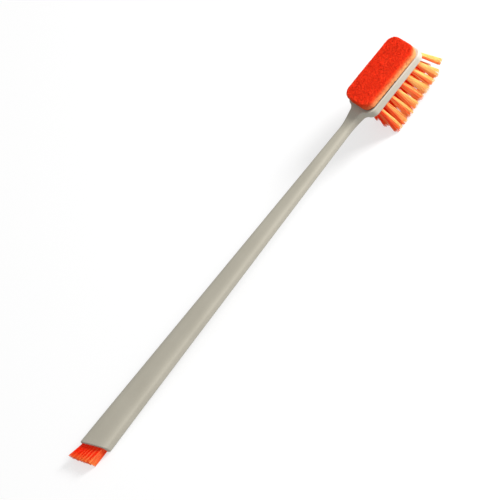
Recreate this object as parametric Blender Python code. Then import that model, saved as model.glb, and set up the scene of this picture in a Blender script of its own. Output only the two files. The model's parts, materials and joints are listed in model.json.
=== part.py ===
"""Long-handled aquarium cleaning brush, in metres, +Z up.

The brush is modelled along +X, from the slanted end of its handle to the tip of its head, with the
scrub pad on top and the bristles below. It is then laid down as it lies on a table: on the bristle
tips and on the end of the handle.
"""

import math

import bmesh
import bpy
from mathutils import Matrix, Vector

# Clearance between neighbouring pieces, and how far a cutter runs past the face it opens
GAP = 0.0003
OVERRUN = 0.0020

# Handle: a flattened oval that tapers from its slanted end to its neck
HANDLE_LENGTH = 0.2230
END_WIDTH = 0.0190
END_THICKNESS = 0.0079
NECK_WIDTH = 0.0068
NECK_THICKNESS = 0.0052
END_SQUARENESS_SHARE = 4.0
NECK_SQUARENESS_SHARE = 3.0
END_SLANT = math.radians(21.0)
SLANT_RUN = 0.0300
END_CORNER = 0.0012
END_EDGE = 0.0007

# Head plate: a rounded rectangle in one piece with the handle, thinner towards its tip
SHOULDER_LENGTH = 0.0138
SHOULDER_WIDTH = 0.0086
SHOULDER_FILLET = 0.0035
HEAD_LENGTH = 0.0460
HEAD_WIDTH = 0.0215
HEAD_CORNER = 0.0050
HEAD_EDGE = 0.0007
HEAD_REAR_THICKNESS = 0.0053
HEAD_TIP_THICKNESS = 0.0043
HEAD_UNDERSIDE_DEPTH = 0.0020

# Scrub pad and the film of adhesive that holds it on the head plate
PAD_LENGTH = 0.0436
PAD_WIDTH = 0.0208
PAD_CORNER = 0.0055
PAD_THICKNESS = 0.0050
PAD_EDGE = 0.0008
ADHESIVE_THICKNESS = 0.0002
ADHESIVE_INSET = 0.0006

# Tufts: three columns side by side and one tuft at the tip, each folded round a metal anchor in its hole
TUFT_RADIUS = 0.00135
TUFT_DEPTH = 0.0030
COLUMN_TUFTS = 8
COLUMN_SPACING = 0.0070
FIRST_TUFT_INSET = 0.0072
TIP_TUFT_INSET = 0.0026
TIP_TUFT_SPACING = 0.0040
BRISTLE_LENGTH_REAR = 0.0230
BRISTLE_LENGTH_TIP = 0.0184
BRISTLE_INSET = 0.00013
TUFT_CORE_RADIUS = 0.00074
TIP_SPREAD = 0.0009
FAN_MIDDLE = math.radians(5.2)
FAN_SWING = math.radians(6.7)
SIDE_SPLAY = math.radians(4.0)
TIP_TUFT_LEAN = math.radians(20.7)
TIP_TUFT_SPLAY = math.radians(-12.0)
REST_FLAT_DEPTH = 0.0005
TUFT_SIDES = 6
HOLE_SIDES = 12

# Anchor: a flat metal blade that the middle of the folded bristles lies round
ANCHOR_LENGTH = 0.0026
ANCHOR_HEIGHT = 0.0012
ANCHOR_THICKNESS = 0.0003
ANCHOR_COVER = 0.0011

# End brush: one flat strip of bristles folded round a wire in a slot in the handle's slanted end
STRIP_SIDE_WALL = 0.0009
STRIP_FACE_WALL = 0.00155
STRIP_DEPTH = 0.0060
STRIP_BRISTLE_LENGTH = 0.0110
STRIP_LEAN = math.radians(3.0)
STRIP_FLARE_SHARE = 0.06
STRIP_CELLS_WIDE = 16
STRIP_CELLS_THICK = 6
STRIP_BRISTLE_INSET = 0.00010
WIRE_WIDTH = 0.0012
WIRE_THICKNESS = 0.0006
WIRE_COVER = 0.0024
WIRE_END_INSET = 0.0008

# Loft resolution, and the angles up to which faces merge or shade as one
ARC_STEPS = 5
CORNER_STEPS = 4
PAD_EDGE_STEPS = 3
FLAT_ANGLE = math.radians(0.05)
SMOOTH_ANGLE = math.radians(40.0)

HEAD_REAR = HANDLE_LENGTH + SHOULDER_LENGTH
HEAD_TIP = HEAD_REAR + HEAD_LENGTH
HEAD_MIDDLE = HEAD_REAR + HEAD_LENGTH / 2
HEAD_SLOPE = (HEAD_REAR_THICKNESS - HEAD_TIP_THICKNESS) / HEAD_LENGTH
HEAD_PITCH = math.atan(HEAD_SLOPE)
TUFT_HOLE_RADIUS = TUFT_RADIUS + GAP
TUFT_HOLE_DEPTH = TUFT_DEPTH + GAP
STRIP_WIDTH = END_WIDTH - 2 * (END_CORNER + STRIP_SIDE_WALL)
STRIP_THICKNESS = END_THICKNESS - 2 * (END_EDGE + STRIP_FACE_WALL)
BRISTLE_SLOPE = (BRISTLE_LENGTH_REAR - BRISTLE_LENGTH_TIP) / HEAD_LENGTH
COLUMN_LENGTH = HEAD_LENGTH - FIRST_TUFT_INSET - TIP_TUFT_SPACING - TIP_TUFT_INSET

COLOURS = {
    "handle": ((0.50, 0.465, 0.375), 0.45, 0.0),
    "pad": ((0.80, 0.045, 0.012), 0.95, 0.0),
    "adhesive": ((0.09, 0.035, 0.016), 0.60, 0.0),
    "bristle": ((0.90, 0.13, 0.02), 0.40, 0.0),
    "anchor": ((0.62, 0.60, 0.56), 0.30, 1.0),
}


def clear_scene():
    for obj in list(bpy.data.objects):
        bpy.data.objects.remove(obj, do_unlink=True)


def new_collection(name):
    collection = bpy.data.collections.new(name)
    bpy.context.scene.collection.children.link(collection)
    return collection


def new_material(name):
    colour, roughness, metallic = COLOURS[name]
    material = bpy.data.materials.new(name)
    material.use_nodes = True
    shader = material.node_tree.nodes["Principled BSDF"]
    shader.inputs["Base Color"].default_value = (*colour, 1.0)
    shader.inputs["Roughness"].default_value = roughness
    shader.inputs["Metallic"].default_value = metallic
    material.diffuse_color = (*colour, 1.0)
    return material


def mesh_from(bm, name):
    bmesh.ops.recalc_face_normals(bm, faces=bm.faces)
    mesh = bpy.data.meshes.new(name)
    bm.to_mesh(mesh)
    bm.free()
    return mesh


def smooth(mesh):
    mesh.shade_smooth()
    mesh.set_sharp_from_angle(angle=SMOOTH_ANGLE)


def new_object(name, mesh, collection, root, material=None, location=(0, 0, 0), rotation=(0, 0, 0)):
    obj = bpy.data.objects.new(name, mesh)
    collection.objects.link(obj)
    obj.parent = root
    obj.location = location
    obj.rotation_euler = rotation
    if material and not mesh.materials:
        mesh.materials.append(material)
    return obj


def new_cutter(name, mesh, collection, root, location=(0, 0, 0)):
    cutter = new_object(name, mesh, collection, root, location=location)
    cutter.hide_render = True
    cutter.display_type = "WIRE"
    return cutter


def cut(obj, cutter):
    modifier = obj.modifiers.new("cut", "BOOLEAN")
    modifier.operation = "DIFFERENCE"
    modifier.solver = "EXACT"
    modifier.object = cutter


def arc_drop(radius, distance):
    """How much lower a rounded corner is at a distance from its end than past the corner."""
    if distance >= radius:
        return 0.0
    return radius - math.sqrt(radius**2 - (radius - distance) ** 2)


def arc_stations(radius, steps):
    """Distances from the end at which a round corner is followed, at even angles."""
    return [radius * (1 - math.cos(math.pi / 2 * i / steps)) for i in range(steps + 1)]


def between(start, end, share):
    return start + (end - start) * share


def head_top(x):
    """Height of the head plate's upper face, which slopes down towards the tip."""
    return HEAD_REAR_THICKNESS - HEAD_UNDERSIDE_DEPTH - HEAD_SLOPE * (x - HEAD_REAR)


def section(x, half_width, top, bottom, squareness, plate_share, slant_share):
    """One closed ring of the loft: an oval on the handle, turning into a rounded rectangle."""
    half_height = (top - bottom) / 2
    middle = (top + bottom) / 2
    edge = min(HEAD_EDGE, half_height, half_width)
    ring = []
    for corner in range(4):
        for step in range(ARC_STEPS + 1):
            turn = math.pi / 2 * (corner + (step + 0.5) / (ARC_STEPS + 1))
            across, up = math.cos(turn), math.sin(turn)
            oval_y = half_width * math.copysign(abs(across) ** (2 / squareness), across)
            oval_z = half_height * math.copysign(abs(up) ** (2 / squareness), up)
            bend = math.pi / 2 * (corner + step / ARC_STEPS)
            side = 1 if corner in (0, 3) else -1
            rise = 1 if corner in (0, 1) else -1
            plate_y = side * (half_width - edge) + edge * math.cos(bend)
            plate_z = rise * (half_height - edge) + edge * math.sin(bend)
            y = between(oval_y, plate_y, plate_share)
            z = between(oval_z, plate_z, plate_share) + middle
            ring.append(Vector((x - slant_share * y * math.tan(END_SLANT), y, z)))
    return ring


def handle_section(x):
    share = x / HANDLE_LENGTH
    half_width = between(END_WIDTH, NECK_WIDTH, share) / 2 - arc_drop(END_CORNER, x)
    half_height = between(END_THICKNESS, NECK_THICKNESS, share) / 2 - arc_drop(END_EDGE, x)
    squareness = between(END_SQUARENESS_SHARE, NECK_SQUARENESS_SHARE, share)
    slant_share = max(0.0, 1 - x / SLANT_RUN)
    return section(x, half_width, half_height, -half_height, squareness, 0.0, slant_share)


def shoulder_outline():
    """(x, half width) from the neck, round the fillet and the rear corner, to the head's straight side."""
    corner_y = HEAD_WIDTH / 2 - HEAD_CORNER
    corner_x = HEAD_REAR + HEAD_CORNER
    turn = math.acos((SHOULDER_WIDTH / 2 + SHOULDER_FILLET - corner_y) / (HEAD_CORNER + SHOULDER_FILLET))
    fillet_x = corner_x - (HEAD_CORNER + SHOULDER_FILLET) * math.sin(turn)
    outline = []
    for i in range(1, CORNER_STEPS):
        share = i / CORNER_STEPS
        x = between(HANDLE_LENGTH, fillet_x, share)
        outline.append((x, between(NECK_WIDTH, SHOULDER_WIDTH, share**2) / 2))
    for i in range(CORNER_STEPS):
        angle = turn * i / CORNER_STEPS
        half_width = SHOULDER_WIDTH / 2 + SHOULDER_FILLET * (1 - math.cos(angle))
        outline.append((fillet_x + SHOULDER_FILLET * math.sin(angle), half_width))
    for i in range(CORNER_STEPS, -1, -1):
        angle = turn * i / CORNER_STEPS
        outline.append((corner_x - HEAD_CORNER * math.sin(angle), corner_y + HEAD_CORNER * math.cos(angle)))
    return outline


def head_section(x, half_width):
    """From the neck's oval to the flat head plate, which is reached at its rear corners."""
    share = min(1.0, (x - HANDLE_LENGTH) / (HEAD_REAR - HANDLE_LENGTH))
    rise = share * share * (3 - 2 * share)
    thin = arc_drop(HEAD_EDGE, HEAD_TIP - x)
    top = between(NECK_THICKNESS / 2, head_top(x), rise) - thin
    bottom = thin - between(NECK_THICKNESS / 2, HEAD_UNDERSIDE_DEPTH, rise)
    return section(x, half_width, top, bottom, NECK_SQUARENESS_SHARE, rise, 0.0)


def handle_rings():
    end = sorted(set(arc_stations(END_EDGE, CORNER_STEPS) + arc_stations(END_CORNER, CORNER_STEPS)))
    along = end + [SLANT_RUN * i / CORNER_STEPS for i in range(1, CORNER_STEPS + 1)]
    along += [between(SLANT_RUN, HANDLE_LENGTH, i / CORNER_STEPS) for i in range(1, CORNER_STEPS + 1)]
    rings = [handle_section(x) for x in along]
    rings += [head_section(x, half_width) for x, half_width in shoulder_outline()]
    tip = sorted(set(arc_stations(HEAD_EDGE, CORNER_STEPS) + arc_stations(HEAD_CORNER, CORNER_STEPS)))
    rings += [head_section(HEAD_TIP - x, HEAD_WIDTH / 2 - arc_drop(HEAD_CORNER, x)) for x in reversed(tip)]
    return rings


def loft(rings):
    bm = bmesh.new()
    rows = [[bm.verts.new(point) for point in ring] for ring in rings]
    count = len(rows[0])
    for near, far in zip(rows, rows[1:]):
        for i in range(count):
            j = (i + 1) % count
            bm.faces.new((near[i], near[j], far[j], far[i]))
    bm.faces.new(reversed(rows[0]))
    bm.faces.new(rows[-1])
    bmesh.ops.dissolve_limit(bm, angle_limit=FLAT_ANGLE, verts=bm.verts, edges=bm.edges)
    return bm


def tuft_places():
    """(name, x, y, lean along X, lean along Y) of each tuft, column by column, then the tip tuft."""
    places = []
    for column, label in ((-1, "right"), (0, "middle"), (1, "left")):
        for i in range(COLUMN_TUFTS):
            share = i / (COLUMN_TUFTS - 1)
            x = HEAD_REAR + FIRST_TUFT_INSET + COLUMN_LENGTH * share
            y = COLUMN_SPACING * column
            lean = FAN_MIDDLE + FAN_SWING * (2 * share - 1)
            places.append((f"{label}_{i + 1}", x, y, lean, SIDE_SPLAY * column))
    places.append(("tip", HEAD_TIP - TIP_TUFT_INSET, 0.0, TIP_TUFT_LEAN, TIP_TUFT_SPLAY))
    return places


def bristle_reach(root, slope_x, rest_line):
    """Depth below the head at which a bristle meets the trimmed face or the table, whichever is nearer."""
    length_here = BRISTLE_LENGTH_REAR - BRISTLE_SLOPE * (root.x - HEAD_REAR)
    trimmed = length_here / (1 + BRISTLE_SLOPE * slope_x)
    if rest_line is None:
        return trimmed
    line_height, line_slope = rest_line
    room = root.z - (line_height - line_slope * root.x)
    return min(trimmed, room / (1 - line_slope * slope_x))


def rest_foot():
    """The point of the first tufts that the brush stands on, a little up from their tips."""
    root = Vector((HEAD_REAR + FIRST_TUFT_INSET, 0, -HEAD_UNDERSIDE_DEPTH))
    slope = math.tan(FAN_MIDDLE - FAN_SWING)
    reach = bristle_reach(root, slope, None)
    return root + Vector((slope * reach, 0, REST_FLAT_DEPTH - reach))


def rest_angle(rings, foot):
    """The pitch that brings the handle's lowest point and the foot to one level."""
    points = [p for ring in rings for p in ring if p.x < HANDLE_LENGTH / 2]
    return min(math.atan2(p.z - foot.z, foot.x - p.x) for p in points)


def tuft_mesh(name, origin, lean_x, lean_y, rest_line):
    """A folded bundle: its root plug in the hole, then bristles that spread towards their tips."""
    bm = bmesh.new()
    bmesh.ops.create_cone(
        bm,
        cap_ends=True,
        segments=TUFT_SIDES,
        radius1=TUFT_RADIUS,
        radius2=TUFT_RADIUS,
        depth=TUFT_DEPTH,
        matrix=Matrix.Translation((0, 0, TUFT_DEPTH / 2)),
    )
    mouth = min(bm.faces, key=lambda face: face.calc_center_median().z)
    ring = bmesh.ops.inset_region(bm, faces=[mouth], thickness=TUFT_RADIUS - TUFT_CORE_RADIUS)["faces"]
    core = bmesh.ops.poke(bm, faces=[mouth])["faces"]
    bundles = ring + core
    bmesh.ops.inset_individual(bm, faces=bundles, thickness=BRISTLE_INSET)
    strands = bmesh.ops.extrude_discrete_faces(bm, faces=bundles)["faces"]
    for strand in strands:
        middle = strand.calc_center_median()
        spread_x = TIP_SPREAD / BRISTLE_LENGTH_REAR * middle.x / TUFT_RADIUS
        spread_y = TIP_SPREAD / BRISTLE_LENGTH_REAR * middle.y / TUFT_RADIUS
        slope_x = math.tan(lean_x) + spread_x
        slope_y = math.tan(lean_y) + spread_y
        for vert in strand.verts:
            reach = bristle_reach(origin + vert.co, slope_x, rest_line)
            vert.co += Vector((slope_x, slope_y, -1)) * reach
    return mesh_from(bm, name)


def box_mesh(name, size):
    bm = bmesh.new()
    bmesh.ops.create_cube(bm, size=1)
    bmesh.ops.scale(bm, vec=size, verts=bm.verts)
    return mesh_from(bm, name)


def holes_mesh(places):
    bm = bmesh.new()
    radius = TUFT_HOLE_RADIUS / math.cos(math.pi / HOLE_SIDES)
    depth = TUFT_HOLE_DEPTH + OVERRUN
    for _, x, y, _, _ in places:
        bmesh.ops.create_cone(
            bm,
            cap_ends=True,
            segments=HOLE_SIDES,
            radius1=radius,
            radius2=radius,
            depth=depth,
            matrix=Matrix.Translation((x, y, TUFT_HOLE_DEPTH - depth / 2 - HEAD_UNDERSIDE_DEPTH)),
        )
    return mesh_from(bm, "tuft_holes")


def slanted(point):
    """Moves a point of the end brush along X with the slant of the handle's end."""
    return Vector((point.x - point.y * math.tan(END_SLANT), point.y, point.z))


def slanted_box_mesh(name, start, end, width, thickness):
    """A box from start to end along X whose ends are parallel to the handle's slanted end."""
    bm = bmesh.new()
    bmesh.ops.create_cube(bm, size=1)
    bmesh.ops.scale(bm, vec=(end - start, width, thickness), verts=bm.verts)
    bmesh.ops.translate(bm, vec=((start + end) / 2, 0, 0), verts=bm.verts)
    for vert in bm.verts:
        vert.co = slanted(vert.co)
    return mesh_from(bm, name)


def strip_mesh():
    """The end brush: a flat root block in the handle's slot, and its bristles."""
    bm = bmesh.new()
    bmesh.ops.create_grid(bm, x_segments=STRIP_CELLS_WIDE, y_segments=STRIP_CELLS_THICK, size=0.5)
    mouth = list(bm.faces)
    for vert in bm.verts:
        vert.co = Vector((0, vert.co.x * STRIP_WIDTH, vert.co.y * STRIP_THICKNESS))
    made = bmesh.ops.extrude_face_region(bm, geom=mouth)["geom"]
    back = [item for item in made if isinstance(item, bmesh.types.BMFace)]
    for vert in (item for item in made if isinstance(item, bmesh.types.BMVert)):
        vert.co.x = STRIP_DEPTH
    bmesh.ops.dissolve_faces(bm, faces=back, use_verts=True)
    bmesh.ops.inset_individual(bm, faces=mouth, thickness=STRIP_BRISTLE_INSET)
    strands = bmesh.ops.extrude_discrete_faces(bm, faces=mouth)["faces"]
    for strand in strands:
        middle = strand.calc_center_median()
        slope_y = math.tan(STRIP_LEAN) + STRIP_FLARE_SHARE * 2 * middle.y / STRIP_WIDTH
        slope_z = STRIP_FLARE_SHARE * 2 * middle.z / STRIP_THICKNESS
        for vert in strand.verts:
            reach = STRIP_BRISTLE_LENGTH / (1 + slope_y * math.tan(END_SLANT))
            vert.co += Vector((-1 + slope_y * math.tan(END_SLANT), slope_y, slope_z)) * reach
    for vert in bm.verts:
        vert.co = slanted(vert.co)
    return mesh_from(bm, "end_bristles")


def rounded_outline(length, width, corner):
    points = []
    for quarter in range(4):
        side_x = 1 if quarter in (0, 3) else -1
        side_y = 1 if quarter in (0, 1) else -1
        for step in range(ARC_STEPS + 1):
            turn = math.pi / 2 * (quarter + step / ARC_STEPS)
            x = side_x * (length / 2 - corner) + corner * math.cos(turn)
            y = side_y * (width / 2 - corner) + corner * math.sin(turn)
            points.append((x, y, 0))
    return points


def pad_mesh(name, length, width, corner, thickness, edge):
    """A rounded rectangle raised from its outline, with its upper edge rounded."""
    bm = bmesh.new()
    outline = [bm.verts.new(point) for point in rounded_outline(length, width, corner)]
    base = bm.faces.new(outline)
    raised = bmesh.ops.extrude_face_region(bm, geom=[base])["geom"]
    top_verts = [item for item in raised if isinstance(item, bmesh.types.BMVert)]
    bmesh.ops.translate(bm, vec=(0, 0, thickness), verts=top_verts)
    if edge:
        rim = [item for item in raised if isinstance(item, bmesh.types.BMEdge)]
        bmesh.ops.bevel(bm, geom=rim, offset=edge, segments=PAD_EDGE_STEPS, profile=0.5, affect="EDGES")
    return mesh_from(bm, name)


def build_handle(rings, places, parts, cutters, root, material):
    mesh = mesh_from(loft(rings), "handle")
    handle = new_object("handle", mesh, parts, root, material)
    holes = new_cutter("tuft_hole_cutter", holes_mesh(places), cutters, root)
    slot_mesh = slanted_box_mesh(
        "end_slot", -OVERRUN, STRIP_DEPTH + GAP, STRIP_WIDTH + 2 * GAP, STRIP_THICKNESS + 2 * GAP
    )
    slot = new_cutter("end_slot_cutter", slot_mesh, cutters, root)
    cut(handle, holes)
    cut(handle, slot)
    smooth(mesh)


def build_pad(parts, root, pad_material, adhesive_material):
    seat = Vector((HEAD_MIDDLE, 0, head_top(HEAD_MIDDLE)))
    up = Vector((math.sin(HEAD_PITCH), 0, math.cos(HEAD_PITCH)))
    film = pad_mesh(
        "pad_adhesive",
        PAD_LENGTH - 2 * ADHESIVE_INSET,
        PAD_WIDTH - 2 * ADHESIVE_INSET,
        PAD_CORNER - ADHESIVE_INSET,
        ADHESIVE_THICKNESS,
        0,
    )
    pad = pad_mesh("scrub_pad", PAD_LENGTH, PAD_WIDTH, PAD_CORNER, PAD_THICKNESS, PAD_EDGE)
    pitch = (0, HEAD_PITCH, 0)
    film_seat = seat + up * GAP
    pad_seat = seat + up * (ADHESIVE_THICKNESS + 2 * GAP)
    new_object("pad_adhesive", film, parts, root, adhesive_material, film_seat, pitch)
    new_object("scrub_pad", pad, parts, root, pad_material, pad_seat, pitch)
    smooth(pad)


def build_tufts(places, rest_line, parts, cutters, root, bristle_material, anchor_material):
    blade = box_mesh("anchor", (ANCHOR_THICKNESS, ANCHOR_LENGTH, ANCHOR_HEIGHT))
    eye_size = (ANCHOR_THICKNESS + 2 * GAP, 2 * (TUFT_RADIUS + OVERRUN), ANCHOR_HEIGHT + 2 * GAP)
    eye = box_mesh("anchor_eye", eye_size)
    rise = Vector((0, 0, ANCHOR_COVER + ANCHOR_HEIGHT / 2))
    for name, x, y, lean_x, lean_y in places:
        mouth = Vector((x, y, -HEAD_UNDERSIDE_DEPTH))
        mesh = tuft_mesh(f"tuft_{name}", mouth, lean_x, lean_y, rest_line)
        tuft = new_object(f"tuft_{name}", mesh, parts, root, bristle_material, mouth)
        cut(tuft, new_cutter(f"eye_{name}", eye, cutters, root, mouth + rise))
        new_object(f"anchor_{name}", blade, parts, root, anchor_material, mouth + rise)


def build_end_brush(parts, cutters, root, bristle_material, anchor_material):
    start = WIRE_COVER
    length = STRIP_WIDTH - 2 * WIRE_END_INSET
    wire = slanted_box_mesh("end_bristle_wire", start, start + WIRE_WIDTH, length, WIRE_THICKNESS)
    eye = slanted_box_mesh(
        "wire_eye", start - GAP, start + WIRE_WIDTH + GAP, STRIP_WIDTH + 2 * OVERRUN, WIRE_THICKNESS + 2 * GAP
    )
    bristles = new_object("end_bristles", strip_mesh(), parts, root, bristle_material)
    cut(bristles, new_cutter("wire_eye_cutter", eye, cutters, root))
    new_object("end_bristle_wire", wire, parts, root, anchor_material)


def settle(root, parts, pitch):
    """Tilts the brush onto its resting points and centres it over the origin."""
    root.rotation_euler = (0, -pitch, 0)
    bpy.context.view_layer.update()
    corners = []
    for obj in parts.objects:
        corners += [obj.matrix_world @ vert.co for vert in obj.data.vertices]
    low = Vector([min(point[axis] for point in corners) for axis in range(3)])
    high = Vector([max(point[axis] for point in corners) for axis in range(3)])
    root.location = (-(low.x + high.x) / 2, -(low.y + high.y) / 2, -low.z)
    bpy.context.view_layer.update()


def main():
    clear_scene()
    parts = new_collection("aquarium_cleaning_brush")
    cutters = new_collection("cutters")
    root = bpy.data.objects.new("brush_root", None)
    bpy.context.scene.collection.objects.link(root)
    materials = {name: new_material(name) for name in COLOURS}

    rings = handle_rings()
    places = tuft_places()
    foot = rest_foot()
    pitch = rest_angle(rings, foot)
    slope = math.tan(pitch)
    rest_line = (foot.z + slope * foot.x, slope)

    build_handle(rings, places, parts, cutters, root, materials["handle"])
    build_pad(parts, root, materials["pad"], materials["adhesive"])
    build_tufts(places, rest_line, parts, cutters, root, materials["bristle"], materials["anchor"])
    build_end_brush(parts, cutters, root, materials["bristle"], materials["anchor"])
    settle(root, parts, pitch)


main()
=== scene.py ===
"""The looks of a long-handled aquarium cleaning brush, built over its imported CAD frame.

Metres, +Z up. Each piece is modelled along the brush's own axes, with +X running from the slanted end
of the handle to the tip of the head, and is then laid down as the CAD brush lies on its bristles.
"""

import json
import math

import bmesh
import bpy
import numpy as np
from mathutils import Matrix, Vector, noise
from mathutils.bvhtree import BVHTree


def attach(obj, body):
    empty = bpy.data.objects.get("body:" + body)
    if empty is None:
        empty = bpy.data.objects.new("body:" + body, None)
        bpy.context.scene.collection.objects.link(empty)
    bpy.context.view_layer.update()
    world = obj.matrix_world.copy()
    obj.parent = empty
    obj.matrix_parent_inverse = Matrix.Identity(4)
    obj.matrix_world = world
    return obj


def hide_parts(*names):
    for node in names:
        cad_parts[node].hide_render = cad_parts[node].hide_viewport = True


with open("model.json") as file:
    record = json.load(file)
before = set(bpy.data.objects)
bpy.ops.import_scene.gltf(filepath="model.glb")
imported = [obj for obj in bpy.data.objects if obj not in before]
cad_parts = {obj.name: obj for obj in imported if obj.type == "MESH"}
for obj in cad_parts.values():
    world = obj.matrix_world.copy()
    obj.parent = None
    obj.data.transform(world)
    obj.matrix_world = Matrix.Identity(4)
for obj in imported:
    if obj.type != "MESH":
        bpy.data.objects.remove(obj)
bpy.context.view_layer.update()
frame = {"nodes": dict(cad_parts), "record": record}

BODY = "root"
SMALLEST = 1e-12

# Camera of the photograph: what it looks at, from where, and how it is rolled about its view line
PHOTO_SIDE_PX = 500
FOCAL_LENGTH_PX = 2182
CAMERA_AIM = Vector((0.0003, 0.0007, 0.0150))
CAMERA_DISTANCE = 1.207
CAMERA_AZIMUTH = math.radians(-6.08)
CAMERA_ELEVATION = math.radians(45.40)
CAMERA_ROLL = math.radians(44.08)
SENSOR_WIDTH_MM = 36.0
CLIP_NEAR = 0.05
CLIP_FAR = 50.0

# Studio: a white floor, a surround brighter on the brush's right, and one low lamp beyond the head
FLOOR_SIDE = 12.0
FLOOR_GLOW = 0.66
FLOOR_SHADOW_COLOUR = (0.38, 0.38, 0.38)
FLOOR_BOUNCE_COLOUR = (0.50, 0.50, 0.50)
SURROUND_STRENGTH = 0.42
SURROUND_SLANT = 0.27
SURROUND_DIRECTION = Vector((0.30, -0.95, 0.0))
KEY_DIRECTION = Vector((0.80, -0.37, 0.47))
KEY_DISTANCE = 1.6
KEY_SIDE = 0.45
KEY_LEVEL = 1.22

# Sizes of the CAD brush that the looks follow
GAP = 0.0003
HANDLE_LENGTH = 0.2230
END_WIDTH = 0.0190
END_THICKNESS = 0.0079
NECK_WIDTH = 0.0068
NECK_THICKNESS = 0.0052
END_SQUARENESS_SHARE = 4.0
NECK_SQUARENESS_SHARE = 3.0
END_SLANT = math.radians(21.0)
SLANT_RUN = 0.0300
END_CORNER = 0.0012
END_EDGE = 0.0007
SHOULDER_LENGTH = 0.0138
SHOULDER_WIDTH = 0.0086
SHOULDER_FILLET = 0.0035
HEAD_LENGTH = 0.0460
HEAD_WIDTH = 0.0215
HEAD_CORNER = 0.0050
HEAD_EDGE = 0.0007
HEAD_REAR_THICKNESS = 0.0053
HEAD_TIP_THICKNESS = 0.0043
HEAD_UNDERSIDE_DEPTH = 0.0020
PAD_LENGTH = 0.0436
PAD_WIDTH = 0.0208
PAD_CORNER = 0.0055
PAD_THICKNESS = 0.0050
PAD_EDGE = 0.0008
ADHESIVE_THICKNESS = 0.0002
TUFT_RADIUS = 0.00135
TUFT_DEPTH = 0.0030
COLUMN_TUFTS = 8
COLUMN_SPACING = 0.0070
FIRST_TUFT_INSET = 0.0072
TIP_TUFT_INSET = 0.0026
TIP_TUFT_SPACING = 0.0040
BRISTLE_LENGTH_REAR = 0.0230
BRISTLE_LENGTH_TIP = 0.0184
FAN_MIDDLE = math.radians(5.2)
FAN_SWING = math.radians(6.7)
SIDE_SPLAY = math.radians(4.0)
TIP_TUFT_LEAN = math.radians(20.7)
TIP_TUFT_SPLAY = math.radians(-12.0)
ANCHOR_THICKNESS = 0.0003
STRIP_SIDE_WALL = 0.0009
STRIP_FACE_WALL = 0.00155
STRIP_DEPTH = 0.0060
STRIP_BRISTLE_LENGTH = 0.0110
STRIP_LEAN = math.radians(3.0)
STRIP_FLARE_SHARE = 0.06

# The handle's finer shape: its rims, and the bend at which an edge starts to look rubbed
RIM_CHAMFER = 0.00012
CUT_OVERRUN = 0.0002
SLOT_CORNER = 0.0003
RUBBED_BEND_SHARE = 0.25
HANDLE_SHARP_ANGLE = math.radians(32)

# Filaments of the tufts and of the end strip, as round strands
FILAMENT_RADIUS = 0.00014
FILAMENT_RADIUS_SHARES = (0.9, 1.08)
FILAMENT_TIP_SHARE = 0.8
FILAMENT_WAVE = 0.00006
FILAMENT_WAVE_HALF_TURNS = 2.6
STRAND_SHARP_ANGLE = math.radians(65)
TIP_WANDER = 0.00014

# Tufts: how they fan, clump and are trimmed. Spreads are at the tips
TUFT_SEED = 100
TUFT_FILAMENTS = 110
TUFT_CLUMPS = 12
OUTER_SPREAD = 0.0021
MIDDLE_SPREAD = 0.0024
TIP_TUFT_SPREAD = 0.0009
TIP_TUFT_REACH_SHARE = 1.08
SIDE_SPREAD_SHARE = 0.62
CLUMP_PULL_SHARE = 0.20
TRIM_SPREAD_SHARE = 0.025
FOLD_SHARES = (0.75, 0.9)
TUFT_BEND_POWER = 1.25

# Paleness of the bristles, from 0, deep red, to 1, pale orange. Much of it is painted light and shade
OUTER_REAR_PALENESS = 0.48
OUTER_TIP_PAINTED_LIGHT_PALENESS = 0.90
MIDDLE_PAINTED_SHADE_PALENESS = 0.24
FIRST_MIDDLE_PAINTED_LIGHT_PALENESS = 0.50
TIP_TUFT_PAINTED_LIGHT_PALENESS = 0.80
TIPWARD_PAINTED_LIGHT = 0.55
TUFT_PALENESS_SPREAD = 0.05
CLUMP_PALENESS_SPREAD = 0.32
FILAMENT_PALENESS_SPREAD = 0.20
TUFT_PAINTED_SHADE_RISE = 0.10
STRIP_PALENESS = -0.04
STRIP_CLUMP_PAINTED_SHADE = 0.12
STRIP_SIDE_PAINTED_LIGHT = 0.14
STRIP_PALENESS_SPREAD = 0.08
STRIP_PAINTED_SHADE_RISE = 0.30

# End strip
STRIP_SEED = 7
STRIP_ROWS = 9
STRIP_FILAMENTS_PER_ROW = 44
ROW_STAGGER_SHARES = (0.25, 0.75)
STRIP_ROOT_SPREAD = 0.00003
STRIP_CLUMP_PITCH = 0.0026
STRIP_CLUMP_PULL = 0.00042
STRIP_CLUMP_UNEVENNESS = 0.35
STRIP_WANDER_SIZE = 0.0009
STRIP_WANDER_LEVEL = 3.5
STRIP_WANDER_SHIFT = Vector((9.3, -1.5, 7.9))
STRIP_DRIFT = 0.0008
STRIP_TRIM_SHARE = 0.07
STRIP_TRIM_WAVE = 0.35
STRIP_TRIM_SPREAD = 0.5
STRIP_BEND_POWER = 1.3

# Pad: its relief, the painted light on its sides, and its fibres. An up of 1 faces up, and 0 sideways
PAD_SEED = 23
PAD_VOXEL = 0.00030
PAD_RELIEF = 0.00017
PAD_RELIEF_SIZE = 0.00075
FINE_RELIEF_SIZE_SHARE = 0.42
FINE_RELIEF_SHARE = 0.6
FINE_RELIEF_SHIFT = Vector((7, 3, 1))
PAD_SIDE_UP = 0.78
PAD_SIDE_UP_RUN = 0.30
PAD_PAINTED_LIGHT_DEPTH_SHARE = 0.60
PAD_PAINTED_LIGHT_SHARES = (0.12, 0.75, 1.0)
PAD_CORE_SHADE = 0.1
FIBRE_SHADES = (0.1, 1.0)
FIBRE_RADIUS = 0.000055
FIBRE_RADIUS_SHARES = (0.7, 1.3)
FIBRE_TAPER_SHARES = (0.6, 1, 1, 1, 1, 0.5)
FIBRE_ACROSS = (0.31, 0.17, 0.94)
FIBRE_COUNT = 4200
FIBRE_LOWEST_UP = -0.5
FIBRE_LENGTH = 0.0030
FIBRE_LENGTH_SHARES = (0.5, 1.4)
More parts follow.
